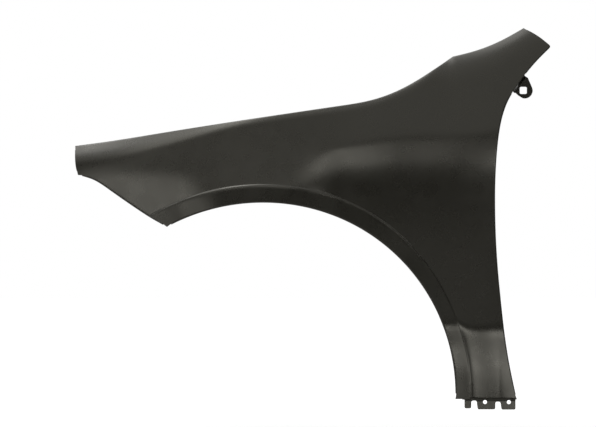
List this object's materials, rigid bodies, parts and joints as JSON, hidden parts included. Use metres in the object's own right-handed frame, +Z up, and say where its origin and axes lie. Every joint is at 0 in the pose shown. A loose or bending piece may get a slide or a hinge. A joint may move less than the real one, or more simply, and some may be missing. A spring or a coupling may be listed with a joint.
{
  "type": "car fender",
  "caption": "Pressed steel front fender panel for a car's left side, with a wheel arch lip, a bolt shelf, folded flanges and a slotted sill end.",
  "frame": {"origin": "underside of the third bolt pad of the hood-side shelf, 14 mm ahead of its bolt hole", "axes": "+X towards the rear of the car, +Y inboard, +Z up"},
  "size_m": [0.9125, 0.194, 0.7291],
  "materials": {
    "black_primer": "satin"
  },
  "bodies": {
    "root": {"fender_panel": "black_primer"}
  },
  "joints": []
}
